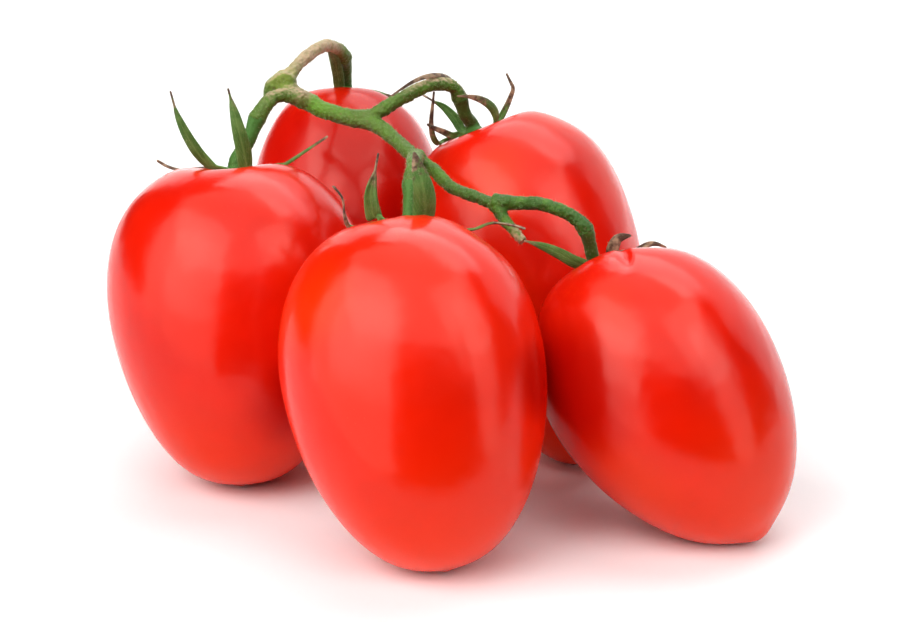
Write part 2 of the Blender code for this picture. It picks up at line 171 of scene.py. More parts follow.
def draw_edges(points):
    """Draws one line of edges through the points and leaves it selected in edit mode."""
    bpy.ops.object.select_all(action="DESELECT")
    bpy.ops.mesh.primitive_plane_add(size=MM, enter_editmode=True)
    bpy.ops.mesh.select_all(action="SELECT")
    bpy.ops.mesh.merge(type="CENTER")
    here = Vector((0.0, 0.0, 0.0))
    for i, point in enumerate(points):
        step = point - here
        if i == 0:
            bpy.ops.transform.translate(value=step)
        else:
            bpy.ops.mesh.extrude_region_move(TRANSFORM_OT_translate={"value": step})
        here += step
    bpy.ops.mesh.select_all(action="SELECT")


def spin_fruit(name, fruit):
    """Draws half the outline from the stem end as one line of edges and spins it closed."""
    outline = []
    for ring in range(FRUIT_RINGS + 1):
        turn = 0.5 * math.pi * (1.0 - math.cos(math.pi * ring / FRUIT_RINGS))
        radius, height = fruit_profile(fruit, turn)
        if ring in (0, FRUIT_RINGS):
            radius = 0.0
        outline.append(Vector((radius * MM, 0.0, height * MM)))
    draw_edges(outline)
    bpy.ops.mesh.spin(
        steps=FRUIT_SIDES, angle=2.0 * math.pi, center=(0.0, 0.0, 0.0), axis=(0.0, 0.0, 1.0))
    bpy.ops.mesh.select_all(action="SELECT")
    bpy.ops.mesh.remove_doubles(threshold=0.02 * MM)
    bpy.ops.mesh.normals_make_consistent(inside=False)
    bpy.ops.object.mode_set(mode="OBJECT")
    thing = bpy.context.object
    thing.name = name
    thing.data.name = name
    finer = thing.modifiers.new("finer", "SUBSURF")
    finer.levels = 1
    finer.render_levels = 1
    apply_modifiers(thing)
    return thing


def shape_skin(thing, fruit):
    """Raises the lobes, shapes the stem end and draws the furrows that run out of it.

    The skin keeps each point's place in the fruit's own frame, in mm, for its colours.
    """
    half = 0.5 * fruit["length"]
    calyx_x, calyx_y = fruit["calyx_at"]
    seed = Vector((fruit["length"], fruit["width"], fruit["lean"]))
    places = []
    for vertex in thing.data.vertices:
        x, y, z = vertex.co / MM
        places += [x, y, z]
        middle = max(0.0, 1.0 - (z / half) ** 2)
        size = 1.0 + LOBE_HEIGHT * middle * math.cos(LOBES * math.atan2(y, x) + fruit["width"])
        size += SWAY_HEIGHT * middle * noise.noise(Vector((x, y, z)) * 0.06 + seed)
        if z > 0.0:
            z += stem_end_shape(fruit, x, y)
            off = math.hypot(x - calyx_x, y - calyx_y)
            around = math.atan2(y - calyx_y, x - calyx_x)
            wander = FURROW_WANDER * noise.noise(Vector((x, y, 0.0)) * 0.2)
            ripple = math.cos(FURROWS * around + wander)
            fade = math.exp(-(((off - FURROW_AT) / FURROW_REACH) ** 2))
            z -= FURROW_DEPTH * fade * (0.5 + 0.5 * ripple)
        vertex.co = Vector((x * size, y * size, z)) * MM
    own_place = thing.data.attributes.new("own_place", "FLOAT_VECTOR", "POINT")
    own_place.data.foreach_set("vector", places)


def stand_fruit(thing, fruit):
    """Leans the fruit, lets it down on the table and presses its small flat there."""
    turn = Vector((0.0, 0.0, 1.0)).rotation_difference(lean_direction(fruit))
    lowest = min((turn @ vertex.co).z for vertex in thing.data.vertices)
    x, y = fruit["at"]
    thing.rotation_mode = "QUATERNION"
    thing.rotation_quaternion = turn
    thing.location = (x * MM, y * MM, -lowest - FLAT_DEPTH * MM)
    seat = thing.location.copy()
    keep_only_selected(thing)
    bpy.ops.object.transform_apply(location=True, rotation=True, scale=True)
    for vertex in thing.data.vertices:
        vertex.co.z = max(0.0, vertex.co.z)
    bpy.ops.object.shade_smooth()
    return seat, turn


def fill(tree, node, values):
    """Fills a node's inputs with plain values or with other nodes' outputs."""
    for key, value in values.items():
        if isinstance(value, bpy.types.NodeSocket):
            tree.links.new(value, node.inputs[key])
        else:
            node.inputs[key].default_value = value


def add_node(tree, kind, values, **settings):
    node = tree.nodes.new(kind)
    for key, value in settings.items():
        setattr(node, key, value)
    fill(tree, node, values)
    return node


def mix_colours(tree, share, first, second):
    """The first colour where share is 0 and the second where it is 1."""
    values = {0: share}
    for key, colour in ((6, first), (7, second)):
        values[key] = colour if isinstance(colour, bpy.types.NodeSocket) else (*colour, 1.0)
    return add_node(tree, "ShaderNodeMix", values, data_type="RGBA").outputs[2]


def times(tree, *values):
    """The product of two or more values."""
    product = values[0]
    for value in values[1:]:
        node = add_node(tree, "ShaderNodeMath", {0: product, 1: value}, operation="MULTIPLY")
        product = node.outputs[0]
    return product


def tint(tree, colour, tone, share, *masks):
    """The colour with a tone laid over it, as strong as the share times all the masks."""
    return mix_colours(tree, times(tree, *masks, share), colour, tone)


def ramp(tree, value, low, high, start=0.0, end=1.0, smooth=False):
    """Runs from start to end while the value goes from low to high, and stays there."""
    kind = "SMOOTHSTEP" if smooth else "LINEAR"
    return add_node(tree, "ShaderNodeMapRange", {
        "Value": value, "From Min": low, "From Max": high, "To Min": start, "To Max": end},
        interpolation_type=kind).outputs[0]


def grain(tree, place, scale, detail):
    """Uneven noise from 0 to 1."""
    values = {"Vector": place, "Scale": scale, "Detail": detail}
    return add_node(tree, "ShaderNodeTexNoise", values).outputs[0]


def bump(tree, strength, depth, height, under=None):
    """A surface made uneven to a depth in mm by a height, on top of another if that is given."""
    values = {"Strength": strength, "Distance": depth * MM, "Height": height}
    if under is not None:
        values["Normal"] = under
    return add_node(tree, "ShaderNodeBump", values).outputs[0]


def new_effect(name, inputs):
    """A node group with named inputs and one output, a mask. Returns what it is built from."""
    tree = bpy.data.node_groups.new(name, "ShaderNodeTree")
    for label, kind in inputs.items():
        tree.interface.new_socket(label, in_out="INPUT", socket_type="NodeSocket" + kind)
    tree.interface.new_socket("Mask", in_out="OUTPUT", socket_type="NodeSocketFloat")
    given = tree.nodes.new("NodeGroupInput").outputs
    result = tree.nodes.new("NodeGroupOutput").inputs["Mask"]
    return tree, given, result


def make_patches_effect():
    """Soft uneven patches, as ripening, wax and drying leave them: a mask from 0 to 1."""
    tree, given, result = new_effect("uneven_patches", {
        "Vector": "Vector", "Scale": "Float", "Detail": "Float", "From": "Float", "To": "Float"})
    cloud = add_node(tree, "ShaderNodeTexNoise", {
        "Vector": given["Vector"], "Scale": given["Scale"], "Detail": given["Detail"],
        "Roughness": 0.55})
    tree.links.new(ramp(tree, cloud.outputs[0], given["From"], given["To"], smooth=True), result)
    return tree


def make_dots_effect():
    """Fine scattered dots, such as pores in the skin or the roots of hairs on a stem."""
    tree, given, result = new_effect(
        "fine_dots", {"Vector": "Vector", "Scale": "Float", "Size": "Float"})
    cells = add_node(tree, "ShaderNodeTexVoronoi", {
        "Vector": given["Vector"], "Scale": given["Scale"]})
    mask = ramp(tree, cells.outputs["Distance"], given["Size"], 0.0, smooth=True)
    tree.links.new(mask, result)
    return tree


def make_near_effect():
    """A soft round spot: 1 within the inner distance of a place and 0 past the outer one."""
    tree, given, result = new_effect("near_place", {
        "Vector": "Vector", "Place": "Vector", "Inner": "Float", "Outer": "Float"})
    far = add_node(tree, "ShaderNodeVectorMath", {
        0: given["Vector"], 1: given["Place"]}, operation="DISTANCE")
    mask = ramp(tree, far.outputs["Value"], given["Outer"], given["Inner"], smooth=True)
    tree.links.new(mask, result)
    return tree


PATCHES = make_patches_effect()
DOTS = make_dots_effect()
NEAR = make_near_effect()


def use_effect(tree, effect, *values):
    """The mask that an effect makes from the values of its inputs, given in their order."""
    return add_node(tree, "ShaderNodeGroup", dict(enumerate(values)), node_tree=effect).outputs[0]


def patches(tree, vector, scale, detail, low, high):
    return use_effect(tree, PATCHES, vector, scale, detail, low, high)


def dots(tree, vector, scale, size):
    return use_effect(tree, DOTS, vector, scale, size)


def near(tree, vector, place, inner, outer):
    return use_effect(tree, NEAR, vector, place, inner, outer)


def new_material(name):
    material = bpy.data.materials.new(name)
    material.use_nodes = True
    return material, material.node_tree, material.node_tree.nodes["Principled BSDF"]


def make_skin(name, fruit, shift):
    """Waxy red skin: uneven ripeness, fine streaks from the stem end, pores and the dry scar.

    The red is set deeper on the fruits that lie in shade, most on the back ones, as painted
    shade, and a spot of painted shade darkens the shaded side of each fruit.
    """
    material, tree, shader = new_material(name)
    own = add_node(tree, "ShaderNodeAttribute", {}, attribute_name="own_place").outputs["Vector"]
    moved = add_node(tree, "ShaderNodeMapping", {"Vector": own, "Location": shift})
    place = moved.outputs["Vector"]
    drawn_out = add_node(tree, "ShaderNodeMapping", {"Vector": place, "Scale": (1.0, 1.0, 0.08)})
    # The depth of red per fruit is partly painted shade: it is set deeper where a fruit lies in
    # shade, most on the two back fruits. The patches in it are uneven ripeness.
    depth = ramp(tree, patches(tree, place, 0.05, 2.0, 0.35, 0.70), 0.0, 1.0,
                 fruit["deep_red"] - 0.12, fruit["deep_red"] + 0.20)
    colour = mix_colours(tree, depth, SKIN_RED, SKIN_DEEP_RED)
    orange = patches(tree, place, 0.028, 1.0, 0.45, 0.75)
    colour = tint(tree, colour, SKIN_ORANGE_RED, 0.6, orange)
    low_end = near(tree, own, (0.0, 0.0, -0.5 * fruit["length"]), 8.0, 42.0)
    colour = tint(tree, colour, SKIN_ORANGE_RED, 0.6, low_end)
    # Painted shade: a spot of deeper red on the side of the fruit that lies in shade.
    spot, reach = fruit["painted_shade"]
    painted_shade = near(tree, own, spot, 0.3 * reach, reach)
    colour = tint(tree, colour, SKIN_DEEP_RED, 0.95, painted_shade)
    streaks = patches(tree, drawn_out.outputs["Vector"], 0.9, 3.0, 0.50, 0.75)
    stem_end = near(tree, own, (*fruit["calyx_at"], 0.5 * fruit["length"]), 4.0, 26.0)
    colour = tint(tree, colour, SKIN_ORANGE_RED, 0.55, streaks, stem_end)
    pores = dots(tree, place, 0.85, 0.13)
    porous = patches(tree, place, 0.10, 1.0, 0.40, 0.7)
    colour = tint(tree, colour, SKIN_PORE, 0.22, pores, porous)
    far_end = (0.0, 0.0, -0.5 * fruit["length"] - fruit["nub"][0])
    scar = near(tree, own, far_end, 0.5, 1.1)
    colour = tint(tree, colour, SCAR_BROWN, 0.9, scar)

    wax = ramp(tree, patches(tree, place, 0.16, 2.0, 0.35, 0.70), 0.0, 1.0, 0.20, 0.25)
    dry = add_node(tree, "ShaderNodeMath", {0: wax, 1: times(tree, scar, 0.4)}, operation="ADD")
    waves = bump(tree, 0.35, 0.35, grain(tree, place, 0.22, 1.0))
    cells = bump(tree, 0.10, 0.03, grain(tree, place, 3.2, 2.0), waves)
    fill(tree, shader, {
        "Base Color": colour, "Roughness": dry.outputs[0], "IOR": 1.42, "Normal": cells})
    return material


def shoulder_height(fruit, radius):
    """Height of the plain outline at a small distance from the fruit's middle line."""
    turn = 0.0
    while fruit_profile(fruit, turn)[0] < radius:
        turn += 0.002
    return fruit_profile(fruit, turn)[1]


def grow_fruit(side, fruit):
    """One fruit in its place. Returns where its middle is and how it is turned."""
    skin = spin_fruit("fruit_" + side, fruit)
    shape_skin(skin, fruit)
    seat, turn = stand_fruit(skin, fruit)
    skin.data.materials.clear()
    shift = (fruit["width"], fruit["length"], fruit["heading"])
    skin.data.materials.append(make_skin("red_skin_" + side, fruit, shift))
    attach(skin, "root")
    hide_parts("tomato_" + side)
    return seat, turn


def calyx_place(side, fruit):
    """The point 2 mm under the plain outline on which the calyx is centred, in metres."""
    x, y = fruit["calyx_at"]
    seat, turn = FRUIT_PLACES[side]
    height = shoulder_height(fruit, math.hypot(x, y)) - CALYX_DEPTH
    return seat + turn @ (Vector((x, y, height)) * MM)


FRUIT_PLACES = {side: grow_fruit(side, fruit) for side, fruit in FRUITS.items()}
CALYX_PLACES = {side: calyx_place(side, fruit) for side, fruit in FRUITS.items()}


# The stem is one green stalk, cut from the plant at its heel and dried off at its stub. It
# forks once for each fruit, and each branch arches over and ends at a swollen knuckle. It is
# a living thing in one piece, so its tubes are grown together into one skin with soft forks.
MAIN_STEM = [
    (-35.0, 20.0, 82.5), (-27.5, 16.5, 78.9), (-20.0, 12.5, 77.2), (-13.5, 8.5, 76.2),
    (-6.0, -1.5, 72.0), (-1.5, -7.5, 70.2), (3.0, -13.5, 67.6), (12.0, -19.5, 65.5),
]
MAIN_STEM_RADIUS = (2.05, 1.15)
HEEL_OUTLINE = [
    (-39.6, 80.4), (-39.2, 83.4), (-35.9, 86.0), (-34.1, 86.2), (-32.6, 85.0), (-32.3, 82.7),
    (-33.4, 80.4), (-37.6, 79.9),
]
HEEL_FROM_Y = 18.4
HEEL_DEPTH = 5.2
HEEL_BEVEL = 0.5
STUB = [(11.0, -19.0, 65.8), (13.0, -22.0, 63.5), (14.5, -25.0, 62.2), (17.0, -27.6, 59.9)]
STUB_RADIUS = (1.5, 0.95)
PEDICELS = {
    "left": {
        "to_knuckle": [(-28.0, 17.0, 79.4), (-34.5, 16.5, 81.5), (-38.0, 14.5, 80.5),
                       (-40.5, 12.5, 77.0)],
        "to_calyx": [(-42.2, 10.8, 73.0)],
        "radius": 1.6,
    },
    "front": {
        "to_knuckle": [(-5.0, -3.5, 72.0), (-5.3, -14.0, 74.0), (-5.4, -25.0, 75.0),
                       (-5.9, -31.0, 72.6)],
        "to_calyx": [],
        "radius": 1.5,
    },
    "right": {
        "to_knuckle": [(11.0, -19.0, 66.0), (16.5, -21.5, 66.5), (20.5, -23.5, 66.8),
                       (26.5, -25.2, 65.0), (29.8, -26.0, 62.0)],
        "to_calyx": [],
        "radius": 1.4,
    },
    "back_right": {
        "to_knuckle": [(-19.5, 12.0, 77.0), (-14.6, 10.6, 78.5), (-10.2, 11.0, 81.0),
                       (-2.5, 14.5, 84.2), (2.2, 17.8, 83.4), (4.2, 19.5, 80.3)],
        "to_calyx": [(5.2, 21.2, 76.5)],
        "radius": 1.5,
    },
    "back_left": {
        "to_knuckle": [(-35.0, 20.5, 83.5), (-32.0, 26.5, 86.8), (-28.0, 36.0, 88.6),
                       (-25.2, 45.0, 87.4), (-23.0, 52.5, 83.5)],
        "to_calyx": [],
        "radius": 1.4,
    },
}
STEM_SPACING = 0.8
KNUCKLE_SWELL = 0.40
KNUCKLE_LENGTH = 1.8
FORK_SWELL = 0.5
FORK_LENGTH = 3.0
KNUCKLE_OVERLAP = 0.8
DISC_LIFT = 0.1
DISC_THICKNESS = 1.4
COLLAR_AT = (-31.0, 17.0, 80.9)
COLLAR_SWELL = 0.4
COLLAR_LENGTH = 0.9
STALK_STRAIGHT = 2.0
STEM_VOXEL = 0.26
STEM_SOFTENING = 5
STEM_UNEVENNESS = (0.22, 0.22)

FIRST_FORK_AT = (-27.0, 16.0, 79.3)
HEEL_TOP_AT = (-35.5, 20.8, 84.4)
CUT_FACE_AT = (-40.2, 21.0, 81.4)
FAR_ARCH_AT = (-29.0, 35.0, 88.5)
DRY_TOP_AT = (-35.0, 18.5, 82.5)
BRANCH_TOP_AT = (3.5, 17.0, 84.0)

STEM_GREEN = (0.078, 0.142, 0.020)
STEM_DEEP_GREEN = (0.026, 0.085, 0.009)
STEM_BRIGHT_GREEN = (0.100, 0.225, 0.016)
HEEL_PALE_GREEN = (0.230, 0.290, 0.050)
DRY_TAN = (0.520, 0.355, 0.235)
DRY_BROWN = (0.150, 0.085, 0.040)
HAIR_ROOT = (0.330, 0.440, 0.170)


def in_metres(points):
    return [Vector(point) * MM for point in points]


def smooth_route(points, spacing):
    """Points about one spacing apart on a smooth curve through the given points."""
    padded = [points[0] * 2.0 - points[1], *points, points[-1] * 2.0 - points[-2]]
    route = []
    for i in range(1, len(padded) - 2):
        before, start, end, after = padded[i - 1:i + 3]
        steps = max(1, round((end - start).length / spacing))
        for step in range(steps):
            t = step / steps
            route.append(0.5 * (
                2.0 * start
                + (end - before) * t
                + (2.0 * before - 5.0 * start + 4.0 * end - after) * t ** 2
                + (3.0 * start - 3.0 * end + after - before) * t ** 3
            ))
    route.append(points[-1].copy())
    return route


def lengths_along(route):
    along = [0.0]
    for a, b in zip(route, route[1:]):
        along.append(along[-1] + (b - a).length)
    return along


def swell(distance, height, length):
    return height * MM * math.exp(-((distance / (length * MM)) ** 2))


def lay_tube(name, route, radii):
    """A round stalk along a route, with its own radius at each point and closed ends."""
    bpy.ops.object.select_all(action="DESELECT")
    bpy.ops.curve.primitive_nurbs_path_add()
    thing = bpy.context.object
    thing.name = name
    curve = thing.data
    curve.splines.clear()
    curve.bevel_depth = MM
    curve.bevel_resolution = 6
    curve.use_fill_caps = True
    spline = curve.splines.new("POLY")
    spline.points.add(len(route) - 1)
    for point, place, radius in zip(spline.points, route, radii):
        point.co = (*place, 1.0)
        point.radius = radius / MM
    bpy.ops.object.convert(target="MESH")
    return bpy.context.object


def tapered(route, ends):
    along = lengths_along(route)
    return [(ends[0] + (ends[1] - ends[0]) * s / along[-1]) * MM for s in along]


def calyx_seat(side):
    """The middle of the green cushion, which lies on the bottom of the fruit's hollow."""
    axis = lean_direction(FRUITS[side])
    sunk = -stem_end_shape(FRUITS[side], *FRUITS[side]["calyx_at"]) - CALYX_DEPTH
    return CALYX_PLACES[side] + axis * (DISC_LIFT + 0.5 * DISC_THICKNESS - sunk) * MM


def split_pedicel(side):
    """The pedicel's route cut in two at the knuckle, where the halves overlap a little."""
    pedicel = PEDICELS[side]
    axis = lean_direction(FRUITS[side])
    seat = calyx_seat(side)
    upper = in_metres(pedicel["to_knuckle"])
    lower = in_metres(pedicel["to_calyx"]) + [seat + axis * STALK_STRAIGHT * MM, seat]
    whole = smooth_route(upper + lower, STEM_SPACING * MM)
    knuckle = upper[-1]
    at = min(range(len(whole)), key=lambda i: (whole[i] - knuckle).length)
    along = (whole[at + 1] - whole[at - 1]).normalized()
    half = 0.5 * KNUCKLE_OVERLAP * MM
    return whole[:at] + [knuckle + along * half], [knuckle - along * half] + whole[at + 1:]


def pedicel_radii(side, route, knuckle_first):
    """Swollen at the knuckle, thicker again where the branch leaves the stem."""
    along = lengths_along(route)
    radii = []
    for s in along:
        to_knuckle = s if knuckle_first else along[-1] - s
        size = PEDICELS[side]["radius"] * MM + swell(to_knuckle, KNUCKLE_SWELL, KNUCKLE_LENGTH)
        if not knuckle_first:
            size += swell(s, FORK_SWELL, FORK_LENGTH)
        radii.append(size)
    return radii


def join(pieces):
    """Puts all the pieces into the first one, which is returned."""
    bpy.ops.object.select_all(action="DESELECT")
    for piece in pieces:
        piece.select_set(True)
    bpy.context.view_layer.objects.active = pieces[0]
    bpy.ops.object.join()
    return pieces[0]


def grow_together(name, pieces, voxel, rounds):
    """Joins closed pieces into one skin and softens the places where they meet."""
    thing = join(pieces)
    thing.name = name
    thing.data.name = name
    one_skin = thing.modifiers.new("one_skin", "REMESH")
    one_skin.mode = "VOXEL"
    one_skin.voxel_size = voxel * MM
    one_skin.use_smooth_shade = True
    soften = thing.modifiers.new("soften", "SMOOTH")
    soften.factor = 0.5
    soften.iterations = rounds
    apply_modifiers(thing)
    return thing


def cut_heel():
    """The squared block at the cut end: its outline drawn as edges, filled and pulled back."""
    draw_edges([Vector((x, HEEL_FROM_Y, z)) * MM for x, z in HEEL_OUTLINE])
    bpy.ops.mesh.edge_face_add()
    bpy.ops.mesh.extrude_region_move(
        TRANSFORM_OT_translate={"value": (0.0, HEEL_DEPTH * MM, 0.0)})
    bpy.ops.mesh.select_all(action="SELECT")
    bpy.ops.mesh.normals_make_consistent(inside=False)
    bpy.ops.mesh.bevel(offset=HEEL_BEVEL * MM, segments=2)
    bpy.ops.object.mode_set(mode="OBJECT")
    return bpy.context.object


def roughen(thing, coarse, fine):
    """Lifts and lowers the skin a little, so that a stalk isn't a perfect tube."""
    normals = [vertex.normal.copy() for vertex in thing.data.vertices]
    for vertex, out in zip(thing.data.vertices, normals):
        place = vertex.co / MM
        lift = coarse * noise.noise(place * 0.35) + fine * noise.noise(place * 1.6)
        vertex.co += out * lift * MM


def place_in_mm(tree):
    """The piece's own object coordinates, in millimetres."""
    coordinates = add_node(tree, "ShaderNodeTexCoord", {})
    scaled = add_node(tree, "ShaderNodeVectorMath", {
        0: coordinates.outputs["Object"], "Scale": 1.0 / MM}, operation="SCALE")
    return scaled.outputs["Vector"]


def make_stem_green():
    """Green: pale at the heel, bright at the first fork, deep to the right, tan where dry."""
    material, tree, shader = new_material("stem_green")
    place = place_in_mm(tree)
    split = add_node(tree, "ShaderNodeSeparateXYZ", {0: place})
    to_right = ramp(tree, split.outputs["X"], -18.0, 24.0, smooth=True)
    colour = mix_colours(tree, to_right, STEM_GREEN, STEM_DEEP_GREEN)
    light = patches(tree, place, 0.22, 3.0, 0.42, 0.68)
    colour = tint(tree, colour, STEM_BRIGHT_GREEN, 0.55, light)
    fork = near(tree, place, FIRST_FORK_AT, 2.2, 5.0)
    colour = tint(tree, colour, STEM_BRIGHT_GREEN, 0.9, fork)
    heel = near(tree, place, HEEL_TOP_AT, 2.2, 5.0)
    colour = tint(tree, colour, HEEL_PALE_GREEN, 0.8, heel)
    blotches = patches(tree, place, 0.45, 4.0, 0.38, 0.60)
    frayed = patches(tree, place, 1.0, 5.0, 0.28, 0.62)
    cut_face = near(tree, place, CUT_FACE_AT, 0.8, 2.6)
    colour = tint(tree, colour, DRY_BROWN, 0.7, cut_face, frayed)
    collar = near(tree, place, COLLAR_AT, 1.2, 3.4)
    colour = tint(tree, colour, DRY_BROWN, 0.85, collar, blotches)
    arch = near(tree, place, FAR_ARCH_AT, 8.0, 17.0)
    even = patches(tree, place, 1.0, 5.0, 0.05, 0.58)
    colour = tint(tree, colour, DRY_TAN, 0.85, arch, even)
    stub_end = near(tree, place, STUB[-1], 1.0, 5.0)
    colour = tint(tree, colour, DRY_TAN, 0.9, stub_end, frayed)
    facing = add_node(tree, "ShaderNodeNewGeometry", {})
    upward = add_node(tree, "ShaderNodeSeparateXYZ", {0: facing.outputs["Normal"]})
    top = ramp(tree, upward.outputs["Z"], 0.30, 0.85)
    dry_top = near(tree, place, DRY_TOP_AT, 4.0, 8.5)
    colour = tint(tree, colour, DRY_TAN, 0.75, top, dry_top, frayed)
    branch_top = near(tree, place, BRANCH_TOP_AT, 8.0, 15.0)
    colour = tint(tree, colour, DRY_TAN, 0.85, top, branch_top, frayed)
    flecks = patches(tree, place, 1.3, 4.0, 0.60, 0.72)
    colour = tint(tree, colour, DRY_BROWN, 0.5, flecks)
    roots = dots(tree, place, 1.5, 0.22)
    colour = tint(tree, colour, HAIR_ROOT, 0.30, roots)

    worn = ramp(tree, light, 0.0, 1.0, 0.50, 0.68)
    rough = bump(tree, 0.6, 0.22, grain(tree, place, 1.8, 4.0))
    fill(tree, shader, {
        "Base Color": colour, "Roughness": worn, "Normal": bump(tree, 0.7, 0.12, roots, rough),
        "Specular IOR Level": 0.35, "Sheen Weight": 0.06, "Sheen Roughness": 0.45})
    return material


def grow_stem():
    """The main stem with its cut heel, its dried stub and the five branches, in one skin."""
    route = smooth_route(in_metres(MAIN_STEM), STEM_SPACING * MM)
    pieces = [lay_tube("main_stem", route, tapered(route, MAIN_STEM_RADIUS))]
    route = smooth_route(in_metres(STUB), STEM_SPACING * MM)
    pieces.append(lay_tube("stub", route, tapered(route, STUB_RADIUS)))
    pieces.append(cut_heel())
    collar = Vector(COLLAR_AT) * MM
    for side in PEDICELS:
        route, _ = split_pedicel(side)
        radii = pedicel_radii(side, route, False)
        if side == "left":
            radii = [size + swell((place - collar).length, COLLAR_SWELL, COLLAR_LENGTH)
                     for size, place in zip(radii, route)]
        pieces.append(lay_tube("branch_" + side, route, radii))
    stem = grow_together("green_stem", pieces, STEM_VOXEL, STEM_SOFTENING)
    roughen(stem, *STEM_UNEVENNESS)
    stem.data.materials.clear()
    stem.data.materials.append(make_stem_green())
    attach(stem, "root")
    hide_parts("truss_stem")
    return stem


STEM = grow_stem()


# The calyx on each fruit is a little green cushion in the hollow with a short stalk up to the
# knuckle and a star of narrow leathery sepals. They grew flat and have curled up, and their
# tips have dried brown. A sepal is a thin blade with a keel and veins.
VIEWER = (0.0, -1.0, 0.2)

